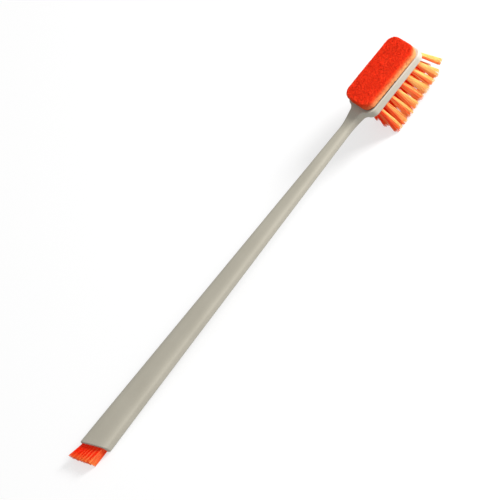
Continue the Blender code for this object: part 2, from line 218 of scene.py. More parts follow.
FIBRE_LIFT = 0.00016
FIBRE_LIFT_SHARES = (0.3, 1.0)
FIBRE_SINK = 0.00005
FIBRE_BEND = 0.5
LOOSE_END_COUNT = 500
LOOSE_END_LOWEST_UP = -0.2
LOOSE_END_LENGTH = 0.00055
LOOSE_END_LENGTH_SHARES = (0.4, 1.3)
LOOSE_END_LEAN = 0.9
LOOSE_END_LEVEL_SHARE = 0.8
LOOSE_END_SINK_SHARE = 0.1
LOOSE_END_CURL_SHARE = 0.3

# Film of adhesive, squeezed a little wider than its CAD solid, so that its dark colour shows as painted
# shade in the gap under the pad
FILM_INSET = 0.0002
FILM_RELIEF_SIZE_SHARE = 2
FILM_RELIEF_SHARE = 1 / 3

# Steps and sides of the meshes
ARC_STEPS = 12
CORNER_STEPS = 10
RUN_STEPS = 36
EDGE_STEPS = 6
ROUND_PROFILE = 0.5
HOLE_SIDES = 36
TUFT_STATIONS = 8
STRIP_STATIONS = 7
FILAMENT_SIDES = 6
FIBRE_SIDES = 4
GOLDEN_TURN = math.pi * (3 - math.sqrt(5))

# Sockets of the Mix node, which has a set of them for each kind of value
MIX_NUMBER_INPUTS = (0, 2, 3)
MIX_NUMBER_OUTPUT = 0
MIX_COLOUR_INPUTS = (0, 6, 7)
MIX_COLOUR_OUTPUT = 2

# Bands of noise or of an attribute over which a pattern comes in
WHOLE_BAND = (0.0, 1.0)
WIDE_BAND = (0.30, 0.70)
NARROW_BAND = (0.35, 0.65)
MOTTLE_BAND = (0.36, 0.64)
RUB_BAND = (0.60, 0.72)
STAIN_BAND = (0.50, 0.75)
ROOT_BAND = (0.10, 0.50)
TIP_BAND = (0.70, 1.0)

# Moulded plastic
PLASTIC_IOR = 1.46
PLASTIC_DARK = (0.465, 0.435, 0.356)
PLASTIC_LIGHT = (0.505, 0.474, 0.390)
# Painted light: the head's paler tone, as if more light fell on it
PLASTIC_HEAD_PAINTED_LIGHT = (0.700, 0.635, 0.545)
PLASTIC_GRAIN = (0.430, 0.400, 0.325)
PLASTIC_RUBBED = (0.60, 0.58, 0.51)
PLASTIC_ROUGHNESS = (0.40, 0.48)
PLASTIC_BUMP = 0.000016
CLOUD_SIZE = 0.018
GRAIN_SIZE = 0.00035
GRAIN_SHARE = 0.35
RUB_SIZE = 0.0011
RUB_STRETCH = (0.05, 1, 1)
RUB_SHARE = 0.12
RUB_POLISH = -0.06
RUB_BUMP_SHARE = -0.15
EDGE_SHARE = 0.22
EDGE_POLISH = -0.07

# Abrasive fibre
PAD_SPECULAR = 0.12
PAD_SHEEN_WEIGHT = 0.06
PAD_SHEEN_ROUGHNESS = 0.4
PAD_SHEEN = (1.0, 0.55, 0.35, 1.0)
PAD_DEEP = (0.71, 0.015, 0.002)
PAD_BRIGHT = (0.96, 0.034, 0.005)
PAD_FIBRE = (0.99, 0.095, 0.026)
PAD_PATCH = (0.68, 0.012, 0.002)
PAD_CUT = (0.93, 0.085, 0.018)
PAD_SIDE_FOOT_PAINTED_LIGHT = (0.95, 0.520, 0.200)
PAD_CUT_MOTTLE = (0.80, 0.095, 0.022)
PAD_ROUGHNESS = (0.82, 0.95)
PAD_BUMP = 0.00003
MOTTLE_SIZE = 0.0011
CUT_MOTTLE_SHARE = 0.35
FIBRE_COLOUR_SHARE = 0.50
PATCH_SIZE = 0.006
PATCH_SHARE = 0.20
WEB_SIZE = 0.00018

# Nylon
NYLON_IOR = 1.45
NYLON_SPECULAR = 0.15
NYLON_DEEP = (0.90, 0.018, 0.001)
NYLON_PALE = (0.97, 0.745, 0.235)
NYLON_ROOT_PAINTED_SHADE = (0.92, 0.030, 0.003)
NYLON_TIP = (0.97, 0.52, 0.10)
NYLON_STREAK = (0.97, 0.110, 0.010)
NYLON_GLOW = (1.0, 0.03, 0.0, 1.0)
NYLON_GLOW_STRENGTH = 0.12
NYLON_ROUGHNESS = (0.30, 0.42)
NYLON_BUMP = 0.000008
ROOT_PAINTED_SHADE_SHARE = 0.42
TIP_SHARE = 0.25
STREAK_SIZE = 0.0004
STREAK_STRETCH = (1, 1, 0.1)
STREAK_SHARE = 0.12

# Adhesive film
FILM_IOR = 1.5
FILM_DARK = (0.034, 0.011, 0.006)
FILM_LIGHT = (0.080, 0.028, 0.014)
FILM_TIP_PAINTED_LIGHT = (0.80, 0.36, 0.15)
FILM_ROUGHNESS = (0.45, 0.65)
FILM_BUMP = 0.00005
BLOTCH_SIZE = 0.0012
TIP_PAINTED_LIGHT_SHARE = 0.85

# Drawn steel
STEEL_DARK = (0.50, 0.48, 0.45)
STEEL_LIGHT = (0.70, 0.68, 0.64)
STEEL_STAIN = (0.34, 0.29, 0.23)
STEEL_ROUGHNESS = (0.24, 0.40)
STEEL_BUMP = 0.000004
DRAWN_LINE_SIZE = 0.00008
DRAWN_LINE_STRETCH = (1, 0.03, 1)
STAIN_SIZE = 0.0009
STAIN_SHARE = 0.35

HEAD_REAR = HANDLE_LENGTH + SHOULDER_LENGTH
HEAD_TIP = HEAD_REAR + HEAD_LENGTH
HEAD_MIDDLE = HEAD_REAR + HEAD_LENGTH / 2
HEAD_SLOPE = (HEAD_REAR_THICKNESS - HEAD_TIP_THICKNESS) / HEAD_LENGTH
HEAD_PITCH = math.atan(HEAD_SLOPE)
TUFT_HOLE_RADIUS = TUFT_RADIUS + GAP
TUFT_HOLE_DEPTH = TUFT_DEPTH + GAP
STRIP_WIDTH = END_WIDTH - 2 * (END_CORNER + STRIP_SIDE_WALL)
STRIP_THICKNESS = END_THICKNESS - 2 * (END_EDGE + STRIP_FACE_WALL)
BRISTLE_SLOPE = (BRISTLE_LENGTH_REAR - BRISTLE_LENGTH_TIP) / HEAD_LENGTH
COLUMN_LENGTH = HEAD_LENGTH - FIRST_TUFT_INSET - TIP_TUFT_SPACING - TIP_TUFT_INSET
FILAMENT_WANDER = TIP_WANDER / 3
FIBRE_POINTS = len(FIBRE_TAPER_SHARES)


def between(start, end, share):
    return start + (end - start) * share


def head_top(x):
    """Height of the head plate's upper face, which slopes down towards the tip."""
    return HEAD_REAR_THICKNESS - HEAD_UNDERSIDE_DEPTH - HEAD_SLOPE * (x - HEAD_REAR)


PAD_UP = Vector((math.sin(HEAD_PITCH), 0, math.cos(HEAD_PITCH)))
PAD_SEAT = Vector((HEAD_MIDDLE, 0, head_top(HEAD_MIDDLE)))
PAD_BASE = PAD_SEAT + PAD_UP * (ADHESIVE_THICKNESS + 2 * GAP)


def lay_matrix():
    """Lays the brush's own axes into the row frame, by the middle and the normal of its scrub face."""
    face = next(mount for mount in frame["record"]["mounts"] if mount["name"] == "scrub_face")
    normal = Vector(face["axis"])
    pitch = HEAD_PITCH + math.atan2(-normal.x, normal.z)
    turn = Matrix.Rotation(-pitch, 4, "Y")
    shift = Vector(face["pos_m"]) - turn @ (PAD_BASE + PAD_UP * PAD_THICKNESS)
    return Matrix.Translation(shift) @ turn


LAY = lay_matrix()
PAD_PLACE = LAY @ Matrix.Translation(PAD_BASE) @ Matrix.Rotation(HEAD_PITCH, 4, "Y")


# Materials

def new_material(name, **sockets):
    """A material whose shader has the given even values, and its node tree and shader."""
    material = bpy.data.materials.new(name)
    material.use_nodes = True
    shader = material.node_tree.nodes["Principled BSDF"]
    for socket, value in sockets.items():
        title = socket.replace("_", " ").title().replace("Ior", "IOR")
        shader.inputs[title].default_value = value
    return material, material.node_tree, shader


def add_node(tree, kind, **values):
    node = tree.nodes.new(kind)
    for name, value in values.items():
        setattr(node, name, value)
    return node


def coordinates(tree, stretch=(1, 1, 1)):
    """Places on the piece in metres, stretched along its axes."""
    source = add_node(tree, "ShaderNodeTexCoord")
    mapping = add_node(tree, "ShaderNodeMapping")
    mapping.inputs["Scale"].default_value = stretch
    tree.links.new(source.outputs["Object"], mapping.inputs["Vector"])
    return mapping.outputs["Vector"]


def place_along(tree):
    """The place along the brush, from the piece's origin, in metres."""
    place = add_node(tree, "ShaderNodeSeparateXYZ")
    tree.links.new(coordinates(tree), place.inputs["Vector"])
    return place.outputs["X"]


def noise_value(tree, size, detail=2.0, roughness=0.5, stretch=(1, 1, 1)):
    """Noise with features of about the given size in metres."""
    node = add_node(tree, "ShaderNodeTexNoise")
    node.inputs["Scale"].default_value = 1 / size
    node.inputs["Detail"].default_value = detail
    node.inputs["Roughness"].default_value = roughness
    tree.links.new(coordinates(tree, stretch), node.inputs["Vector"])
    return node.outputs["Fac"]


def attribute_value(tree, name):
    return add_node(tree, "ShaderNodeAttribute", attribute_name=name).outputs["Fac"]


def mapped(tree, value, band, results):
    """Carries the band's two ends to the two results, and holds there beyond them."""
    node = add_node(tree, "ShaderNodeMapRange")
    tree.links.new(value, node.inputs["Value"])
    for socket, number in zip(("From Min", "From Max", "To Min", "To Max"), band + results):
        node.inputs[socket].default_value = number
    return node.outputs["Result"]


def share_over(tree, value, band=WHOLE_BAND, most=1.0):
    """0 up to the band's low end, and the given most from its high end on."""
    return mapped(tree, value, band, (0.0, most))


def mixed(tree, share, first, second):
    """Mixes two colours, each a node's output or three numbers."""
    node = add_node(tree, "ShaderNodeMix", data_type="RGBA")
    for number, value in zip(MIX_COLOUR_INPUTS, (share, first, second)):
        if isinstance(value, bpy.types.NodeSocket):
            tree.links.new(value, node.inputs[number])
        else:
            node.inputs[number].default_value = (*value, 1.0)
    return node.outputs[MIX_COLOUR_OUTPUT]


def sum_of(tree, first, second, scale):
    """first + scale * second."""
    node = add_node(tree, "ShaderNodeMath", operation="MULTIPLY_ADD")
    tree.links.new(second, node.inputs[0])
    node.inputs[1].default_value = scale
    tree.links.new(first, node.inputs[2])
    return node.outputs[0]


def finished(tree, shader, colour, roughness, height, distance):
    """Joins a colour, a roughness and a relief as deep as the distance to the shader."""
    tree.links.new(colour, shader.inputs["Base Color"])
    tree.links.new(roughness, shader.inputs["Roughness"])
    node = add_node(tree, "ShaderNodeBump")
    node.inputs["Strength"].default_value = 1.0
    node.inputs["Distance"].default_value = distance
    tree.links.new(height, node.inputs["Height"])
    tree.links.new(node.outputs["Normal"], shader.inputs["Normal"])


def handle_material():
    """Satin moulded plastic, with painted light that makes the head paler: clouding, spark-eroded grain,
    light rubs along it.
    """
    material, tree, shader = new_material("moulded_plastic", ior=PLASTIC_IOR)
    clouds = noise_value(tree, CLOUD_SIZE, detail=3.0)
    grain = noise_value(tree, GRAIN_SIZE, detail=3.0, roughness=0.6)
    rubs = noise_value(tree, RUB_SIZE, detail=2.0, stretch=RUB_STRETCH)
    rubbed = share_over(tree, rubs, RUB_BAND)
    edge = attribute_value(tree, "edge")
    # Painted light: the head is paler, as if lit more and by light bounced from the bristles and pad.
    head = share_over(tree, place_along(tree), (HEAD_REAR - SHOULDER_LENGTH, HEAD_TIP))
    colour = mixed(tree, share_over(tree, clouds, WIDE_BAND), PLASTIC_DARK, PLASTIC_LIGHT)
    colour = mixed(tree, head, colour, PLASTIC_HEAD_PAINTED_LIGHT)
    colour = mixed(tree, share_over(tree, grain, NARROW_BAND, GRAIN_SHARE), colour, PLASTIC_GRAIN)
    colour = mixed(tree, share_over(tree, rubbed, most=RUB_SHARE), colour, PLASTIC_RUBBED)
    colour = mixed(tree, share_over(tree, edge, most=EDGE_SHARE), colour, PLASTIC_RUBBED)
    rough = mapped(tree, clouds, WIDE_BAND, PLASTIC_ROUGHNESS)
    rough = sum_of(tree, rough, rubbed, RUB_POLISH)
    rough = sum_of(tree, rough, edge, EDGE_POLISH)
    finished(tree, shader, colour, rough, sum_of(tree, grain, rubbed, RUB_BUMP_SHARE), PLASTIC_BUMP)
    return material


def pad_material():
    """Non-woven abrasive fibre: mottled red-orange, with painted light on its cut sides that makes them
    paler orange.
    """
    material, tree, shader = new_material(
        "abrasive_fibre",
        specular_ior_level=PAD_SPECULAR,
        sheen_weight=PAD_SHEEN_WEIGHT,
        sheen_roughness=PAD_SHEEN_ROUGHNESS,
        sheen_tint=PAD_SHEEN,
    )
    mottle = noise_value(tree, MOTTLE_SIZE, detail=5.0, roughness=0.65)
    patches = noise_value(tree, PATCH_SIZE, detail=2.0)
    web = noise_value(tree, WEB_SIZE, detail=3.0, roughness=0.7)
    shade = attribute_value(tree, "shade")
    side = attribute_value(tree, "side")
    low = attribute_value(tree, "low")
    top = mixed(tree, share_over(tree, mottle, MOTTLE_BAND), PAD_DEEP, PAD_BRIGHT)
    top = mixed(tree, share_over(tree, shade, most=FIBRE_COLOUR_SHARE), top, PAD_FIBRE)
    top = mixed(tree, share_over(tree, patches, NARROW_BAND, PATCH_SHARE), top, PAD_PATCH)
    # Painted light on the pad's sides: more orange, and paler towards their foot, least at the rear end,
    # which faces away from the light.
    cut = mixed(tree, low, PAD_CUT, PAD_SIDE_FOOT_PAINTED_LIGHT)
    cut = mixed(tree, mapped(tree, mottle, NARROW_BAND, (CUT_MOTTLE_SHARE, 0.0)), cut, PAD_CUT_MOTTLE)
    rough = mapped(tree, mottle, WIDE_BAND, PAD_ROUGHNESS)
    finished(tree, shader, mixed(tree, side, top, cut), rough, web, PAD_BUMP)
    return material


def bristle_material():
    """Orange nylon: each filament has its own paleness, partly painted light and shade, is redder at its
    root with painted shade, and paler at its tip.

    A faint red glow stands for the light that clear filaments pass on to each other.
    """
    material, tree, shader = new_material(
        "nylon_filament",
        ior=NYLON_IOR,
        specular_ior_level=NYLON_SPECULAR,
        emission_color=NYLON_GLOW,
        emission_strength=NYLON_GLOW_STRENGTH,
    )
    shade = attribute_value(tree, "shade")
    along = attribute_value(tree, "along")
    streak = noise_value(tree, STREAK_SIZE, detail=2.0, stretch=STREAK_STRETCH)
    colour = mixed(tree, shade, NYLON_DEEP, NYLON_PALE)
    # Painted shade: filaments are deeper red near their roots, where the head and the slot shade them.
    colour = mixed(tree, mapped(tree, along, ROOT_BAND, (ROOT_PAINTED_SHADE_SHARE, 0.0)), colour, NYLON_ROOT_PAINTED_SHADE)
    colour = mixed(tree, share_over(tree, along, TIP_BAND, TIP_SHARE), colour, NYLON_TIP)
    colour = mixed(tree, share_over(tree, streak, NARROW_BAND, STREAK_SHARE), colour, NYLON_STREAK)
    finished(tree, shader, colour, mapped(tree, streak, WIDE_BAND, NYLON_ROUGHNESS), streak, NYLON_BUMP)
    return material


def adhesive_material():
    """Dark rubbery film, darkened further as painted shade for the gap under the pad, uneven where it was
    squeezed, and paler orange towards the tip as painted light.
    """
    material, tree, shader = new_material("adhesive_film", ior=FILM_IOR)
    blotch = noise_value(tree, BLOTCH_SIZE, detail=3.0)
    tip_painted_light = share_over(tree, place_along(tree), (0.0, PAD_LENGTH / 2), TIP_PAINTED_LIGHT_SHARE)
    # Painted shade: the film's dark brown is deepened to stand for the shadowed gap under the pad.
    colour = mixed(tree, share_over(tree, blotch, NARROW_BAND), FILM_DARK, FILM_LIGHT)
    # Painted light: paler orange towards the tip, where the light falls.
    colour = mixed(tree, tip_painted_light, colour, FILM_TIP_PAINTED_LIGHT)
    finished(tree, shader, colour, mapped(tree, blotch, WIDE_BAND, FILM_ROUGHNESS), blotch, FILM_BUMP)
    return material


def anchor_material():
    """Drawn steel staple wire with fine lines along it."""
    material, tree, shader = new_material("staple_wire", metallic=1.0)
    lines = noise_value(tree, DRAWN_LINE_SIZE, detail=2.0, stretch=DRAWN_LINE_STRETCH)
    stain = noise_value(tree, STAIN_SIZE, detail=3.0)
    colour = mixed(tree, share_over(tree, lines, WIDE_BAND), STEEL_DARK, STEEL_LIGHT)
    colour = mixed(tree, share_over(tree, stain, STAIN_BAND, STAIN_SHARE), colour, STEEL_STAIN)
    finished(tree, shader, colour, mapped(tree, lines, WIDE_BAND, STEEL_ROUGHNESS), lines, STEEL_BUMP)
    return material


def seen_share(tree):
    """1 for rays that show the studio, straight or in a reflection or through a clear piece; else 0."""
    path = add_node(tree, "ShaderNodeLightPath")
    seen = path.outputs["Is Camera Ray"]
    for name in ("Is Glossy Ray", "Is Transmission Ray"):
        either = add_node(tree, "ShaderNodeMath", operation="MAXIMUM")
        tree.links.new(seen, either.inputs[0])
        tree.links.new(path.outputs[name], either.inputs[1])
        seen = either.outputs[0]
    return seen


def floor_material():
    """Card that looks nearly white, with the brush's shadow, and lights the brush as grey card."""
    material = bpy.data.materials.new("floor_card")
    material.use_nodes = True
    tree = material.node_tree
    tree.nodes.clear()
    output = add_node(tree, "ShaderNodeOutputMaterial")
    diffuse = add_node(tree, "ShaderNodeBsdfDiffuse")
    glow = add_node(tree, "ShaderNodeEmission")
    whole = add_node(tree, "ShaderNodeAddShader")
    seen = seen_share(tree)
    tree.links.new(mixed(tree, seen, FLOOR_BOUNCE_COLOUR, FLOOR_SHADOW_COLOUR), diffuse.inputs["Color"])
    tree.links.new(share_over(tree, seen, most=FLOOR_GLOW), glow.inputs["Strength"])
    tree.links.new(diffuse.outputs["BSDF"], whole.inputs[0])
    tree.links.new(glow.outputs["Emission"], whole.inputs[1])
    tree.links.new(whole.outputs["Shader"], output.inputs["Surface"])
    return material


# Pieces

def placed(name, data):
    """A new object in the scene."""
    obj = bpy.data.objects.new(name, data)
    bpy.context.scene.collection.objects.link(obj)
    return obj


def new_piece(name, mesh, material, replaced, place=LAY):
    """Puts a piece in the scene, riding on the brush and standing for its CAD nodes."""
    piece = placed(name, mesh)
    piece.matrix_world = place
    mesh.materials.clear()
    mesh.materials.append(material)
    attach(piece, BODY)
    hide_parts(*replaced)
    return piece


def set_attribute(mesh, name, values):
    attribute = mesh.attributes.new(name, "FLOAT", "POINT")
    attribute.data.foreach_set("value", np.asarray(values, np.float32).ravel())


def baked_mesh(obj, name):
    """The object's mesh with its modifiers applied; the object goes."""
    bpy.context.view_layer.update()
    depsgraph = bpy.context.evaluated_depsgraph_get()
    mesh = bpy.data.meshes.new_from_object(obj.evaluated_get(depsgraph))
    mesh.name = name
    bpy.data.objects.remove(obj, do_unlink=True)
    return mesh


def helper_object(mesh):
    """An object for modifiers to work on, gone before the render."""
    obj = placed(mesh.name, mesh)
    obj.hide_render = True
    return obj


def mesh_from(bm, name):
    """The mesh that was built, whose working copy goes."""
    mesh = bpy.data.meshes.new(name)
    bm.to_mesh(mesh)
    bm.free()
    return mesh


def rounded_corners(half_length, half_width, corner):
    """Points round a rectangle with round corners, as pairs about its middle."""
    points = []
    for quarter in range(4):
        side = 1 if quarter in (0, 3) else -1
        rise = 1 if quarter in (0, 1) else -1
        for step in range(ARC_STEPS + 1):
            turn = math.pi / 2 * (quarter + step / ARC_STEPS)
            first = side * (half_length - corner) + corner * math.cos(turn)
            second = rise * (half_width - corner) + corner * math.sin(turn)
            points.append((first, second))
    return points


# Handle

def arc_drop(radius, distance):
    """How much lower a rounded corner is at a distance from its end than past the corner."""
    if distance >= radius:
        return 0.0
    return radius - math.sqrt(radius**2 - (radius - distance) ** 2)


def arc_stations(radius):
    """Distances from the end at which a round corner is followed, at even angles."""
    angles = [math.pi / 2 * i / CORNER_STEPS for i in range(CORNER_STEPS + 1)]
    return [radius * (1 - math.cos(angle)) for angle in angles]


def section(x, half_width, top, bottom, squareness, plate_share, slant_share):
    """One closed ring of the loft: an oval on the handle, turning into a rounded rectangle."""
    half_height = (top - bottom) / 2
    middle = (top + bottom) / 2
    plate = rounded_corners(half_width, half_height, min(HEAD_EDGE, half_height, half_width))
    ring = []
    for i, (plate_y, plate_z) in enumerate(plate):
        turn = 2 * math.pi * (i + 0.5) / len(plate)
        across, up = math.cos(turn), math.sin(turn)
        oval_y = half_width * math.copysign(abs(across) ** (2 / squareness), across)
        oval_z = half_height * math.copysign(abs(up) ** (2 / squareness), up)
        y = between(oval_y, plate_y, plate_share)
        z = between(oval_z, plate_z, plate_share) + middle
        ring.append((x - slant_share * y * math.tan(END_SLANT), y, z))
    return ring


def handle_section(x):
    """The handle's oval, which tapers to the neck and is slanted near the end."""
    share = x / HANDLE_LENGTH
    half_width = between(END_WIDTH, NECK_WIDTH, share) / 2 - arc_drop(END_CORNER, x)
    half_height = between(END_THICKNESS, NECK_THICKNESS, share) / 2 - arc_drop(END_EDGE, x)
    squareness = between(END_SQUARENESS_SHARE, NECK_SQUARENESS_SHARE, share)
    slant_share = max(0.0, 1 - x / SLANT_RUN)
    return section(x, half_width, half_height, -half_height, squareness, 0.0, slant_share)


def shoulder_outline():
    """(x, half width) from the neck, round the fillet and the rear corner, to the straight side."""
    corner_y = HEAD_WIDTH / 2 - HEAD_CORNER
    corner_x = HEAD_REAR + HEAD_CORNER
    reach = HEAD_CORNER + SHOULDER_FILLET
    turn = math.acos((SHOULDER_WIDTH / 2 + SHOULDER_FILLET - corner_y) / reach)
    fillet_x = corner_x - reach * math.sin(turn)
    outline = []
    for i in range(1, CORNER_STEPS):
        share = i / CORNER_STEPS
        half_width = between(NECK_WIDTH, SHOULDER_WIDTH, share**2) / 2
        outline.append((between(HANDLE_LENGTH, fillet_x, share), half_width))
    for i in range(CORNER_STEPS):
        angle = turn * i / CORNER_STEPS
        half_width = SHOULDER_WIDTH / 2 + SHOULDER_FILLET * (1 - math.cos(angle))
        outline.append((fillet_x + SHOULDER_FILLET * math.sin(angle), half_width))
    for i in range(CORNER_STEPS, -1, -1):
        angle = turn * i / CORNER_STEPS
        half_width = corner_y + HEAD_CORNER * math.cos(angle)
        outline.append((corner_x - HEAD_CORNER * math.sin(angle), half_width))
    return outline


def head_section(x, half_width):
    """From the neck's oval to the flat head plate, which is reached at its rear corners."""
    share = min(1.0, (x - HANDLE_LENGTH) / SHOULDER_LENGTH)
    rise = share * share * (3 - 2 * share)
    thin = arc_drop(HEAD_EDGE, HEAD_TIP - x)
    top = between(NECK_THICKNESS / 2, head_top(x), rise) - thin
    bottom = thin - between(NECK_THICKNESS / 2, HEAD_UNDERSIDE_DEPTH, rise)
    return section(x, half_width, top, bottom, NECK_SQUARENESS_SHARE, rise, 0.0)


def handle_rings():
    """The rings of the loft from the slanted end of the handle to the tip of the head."""
    end = sorted(set(arc_stations(END_EDGE) + arc_stations(END_CORNER)))
    along = end + [SLANT_RUN * i / CORNER_STEPS for i in range(1, CORNER_STEPS + 1)]
    along += [between(SLANT_RUN, HANDLE_LENGTH, i / RUN_STEPS) for i in range(1, RUN_STEPS + 1)]
    rings = [handle_section(x) for x in along]
    rings += [head_section(x, half_width) for x, half_width in shoulder_outline()]
    tip = sorted(set(arc_stations(HEAD_EDGE) + arc_stations(HEAD_CORNER)))
    for x in reversed(tip):
        rings.append(head_section(HEAD_TIP - x, HEAD_WIDTH / 2 - arc_drop(HEAD_CORNER, x)))
    return np.array(rings)


def loft_mesh(name, rings):
    """A closed skin over rings of equal numbers of points."""
    rows, count = rings.shape[:2]
    index = np.arange(rows * count).reshape(rows, count)
    after = np.roll(index, -1, axis=1)
    quads = np.stack([index[:-1], after[:-1], after[1:], index[1:]], axis=-1).reshape(-1, 4)
    faces = quads.tolist() + [index[0, ::-1].tolist(), index[-1].tolist()]
    mesh = bpy.data.meshes.new(name)
    mesh.from_pydata(rings.reshape(-1, 3).tolist(), [], faces)
    return mesh


def edge_shares(rings):
    """How tightly the skin bends across the brush at each point: 0 on flats, 1 on the tightest edges."""
    before = rings - np.roll(rings, 1, axis=1)
    after = np.roll(rings, -1, axis=1) - rings
    length_before = np.linalg.norm(before, axis=2)
    length_after = np.linalg.norm(after, axis=2)
    cosine = (before * after).sum(2) / np.maximum(length_before * length_after, SMALLEST)
    bend = 2 * np.arccos(np.clip(cosine, -1, 1)) / np.maximum(length_before + length_after, SMALLEST)
    return np.clip(bend * HEAD_EDGE - RUBBED_BEND_SHARE, 0, 1)


def turned_cutter(name, places, profile):
    """A closed turned shape at each place: profile holds (radius, height above the head's underside)."""
    angles = 2 * np.pi * np.arange(HOLE_SIDES) / HOLE_SIDES
    bm = bmesh.new()
    for x, y in places:
        rows = []
        for radius, height in profile:
            z = height - HEAD_UNDERSIDE_DEPTH
            ring = [(x + radius * math.cos(angle), y + radius * math.sin(angle), z) for angle in angles]
            rows.append([bm.verts.new(point) for point in ring])
        for near, far in zip(rows, rows[1:]):
            for i in range(HOLE_SIDES):
                j = (i + 1) % HOLE_SIDES
                bm.faces.new((near[i], near[j], far[j], far[i]))
        bm.faces.new(reversed(rows[0]))
        bm.faces.new(rows[-1])
    bmesh.ops.recalc_face_normals(bm, faces=bm.faces)
    return mesh_from(bm, name)


def slot_ring(x, grow):
    """The end slot's outline at a distance from the slanted face, with small round corners."""
    half_y = STRIP_WIDTH / 2 + GAP + grow
    half_z = STRIP_THICKNESS / 2 + GAP + grow
    corners = rounded_corners(half_y, half_z, SLOT_CORNER)
    return [(x - y * math.tan(END_SLANT), y, z) for y, z in corners]


def build_handle(places, material):
    """The moulding: a lofted skin, cut by the tuft holes and the end slot."""
    rings = handle_rings()
    mesh = loft_mesh("handle_skin", rings)
    set_attribute(mesh, "edge", edge_shares(rings))
    body = helper_object(mesh)
    hole_profile = [
        (TUFT_HOLE_RADIUS + RIM_CHAMFER + CUT_OVERRUN, -CUT_OVERRUN),
        (TUFT_HOLE_RADIUS, RIM_CHAMFER),
        (TUFT_HOLE_RADIUS, TUFT_HOLE_DEPTH),
    ]
    mouths = [(x, y) for _, x, y, _, _ in places]
    holes = helper_object(turned_cutter("tuft_holes", mouths, hole_profile))
    slot_rings = [
        slot_ring(-CUT_OVERRUN, RIM_CHAMFER + CUT_OVERRUN),
        slot_ring(RIM_CHAMFER, 0.0),
        slot_ring(STRIP_DEPTH + GAP, 0.0),
    ]
    slot = helper_object(loft_mesh("end_slot", np.array(slot_rings)))
    for cutter in (holes, slot):
        modifier = body.modifiers.new("cut", "BOOLEAN")
        modifier.operation = "DIFFERENCE"
        modifier.solver = "EXACT"
        modifier.object = cutter
    mesh = baked_mesh(body, "handle_moulding")
    for cutter in (holes, slot):
        bpy.data.objects.remove(cutter, do_unlink=True)
    mesh.shade_smooth()
    mesh.set_sharp_from_angle(angle=HANDLE_SHARP_ANGLE)
    piece = new_piece("handle_moulding", mesh, material, ["handle"])
    normals = piece.modifiers.new("normals", "WEIGHTED_NORMAL")
    normals.keep_sharp = True


# Strands

def strand_mesh(name, paths, radii, sides, across):
    """Many fine round strands in one mesh. paths holds each strand's points, radii its radius at each."""
    count, steps, _ = paths.shape
    tangent = np.gradient(paths, axis=1)
    tangent /= np.linalg.norm(tangent, axis=2, keepdims=True)
    first = np.cross(tangent, across)
    first /= np.linalg.norm(first, axis=2, keepdims=True)
    second = np.cross(tangent, first)
    angles = 2 * np.pi * np.arange(sides) / sides
    ring = np.cos(angles)[:, None] * first[:, :, None] + np.sin(angles)[:, None] * second[:, :, None]
    points = paths[:, :, None] + radii[:, :, None, None] * ring
    index = np.arange(count * steps * sides).reshape(count, steps, sides)
    after = np.roll(index, -1, axis=2)
    walls = np.stack([index[:, :-1], after[:, :-1], after[:, 1:], index[:, 1:]], axis=-1)
    faces = [walls.reshape(-1, 4)]
    for k in range(1, sides - 2, 2):
        faces.append(index[:, -1][:, [0, k, k + 1, k + 2]])
        faces.append(index[:, 0][:, [k + 2, k + 1, k, 0]])
    mesh = bpy.data.meshes.new(name)
    mesh.from_pydata(points.reshape(-1, 3).tolist(), [], np.concatenate(faces).tolist())
    mesh.shade_smooth()
    mesh.set_sharp_from_angle(angle=STRAND_SHARP_ANGLE)
    return mesh


def add_strand_shades(mesh, shades, rise, steps, sides):
    """Stores each strand's paleness, which rises by the given amount from root to tip, as painted shade
    deepest at the root, and its run.
    """
    along = np.linspace(0, 1, steps)
    paleness = np.clip(shades[:, None] + rise * (along - 0.5), 0, 1)
    set_attribute(mesh, "shade", np.repeat(paleness.ravel(), sides))
    set_attribute(mesh, "along", np.tile(np.repeat(along, sides), len(shades)))


def wander(places):
    """A smooth random push at each place, alike for neighbours, so that strands lean in clumps.

    It is made of plain noise, because noise_vector differs from one run of Blender to the next.
    """
    pushes = []
    for x, y in places:
        place = Vector((x / STRIP_WANDER_SIZE, y / STRIP_WANDER_SIZE, STRIP_WANDER_LEVEL))
        pushes.append((noise.noise(place), noise.noise(place + STRIP_WANDER_SHIFT)))
    return np.array(pushes)


def filament_radii(rng, count, stations):
    """Each filament's radius at its stations: its own along it, and finer at its tip."""
    radii = FILAMENT_RADIUS * rng.uniform(*FILAMENT_RADIUS_SHARES, (count, 1)) * np.ones(stations)
    radii[:, -1] *= FILAMENT_TIP_SHARE
    return radii


def tuft_places():
    """(name, x, y, lean along X, lean along Y) of each tuft, column by column, then the tip tuft."""
    places = []
    for column, label in ((-1, "right"), (0, "middle"), (1, "left")):
        for i in range(COLUMN_TUFTS):
            share = i / (COLUMN_TUFTS - 1)
            x = HEAD_REAR + FIRST_TUFT_INSET + COLUMN_LENGTH * share
            y = COLUMN_SPACING * column
            lean = FAN_MIDDLE + FAN_SWING * (2 * share - 1)
            places.append((f"{label}_{i + 1}", x, y, lean, SIDE_SPLAY * column))
    places.append(("tip", HEAD_TIP - TIP_TUFT_INSET, 0.0, TIP_TUFT_LEAN, TIP_TUFT_SPLAY))
    return places


def bristle_reach(x, z, slope_x):
    """Depth below the head at which a bristle meets the trimmed face or the table, if that is nearer."""
    length_here = BRISTLE_LENGTH_REAR - BRISTLE_SLOPE * (x - HEAD_REAR)
    trimmed = length_here / (1 + BRISTLE_SLOPE * slope_x)
    lay = np.array(LAY)
    height = lay[2, 0] * x + lay[2, 2] * z + lay[2, 3]
    fall = lay[2, 2] - lay[2, 0] * slope_x
    return np.minimum(trimmed, (height - FILAMENT_RADIUS) / fall)


def disc_places(count, radius, turn):
    """Places spread evenly over a disc."""
    order = np.arange(count)
    reach = radius * np.sqrt((order + 0.5) / count)
    angle = order * GOLDEN_TURN + turn
    return np.stack([reach * np.cos(angle), reach * np.sin(angle)], axis=1)


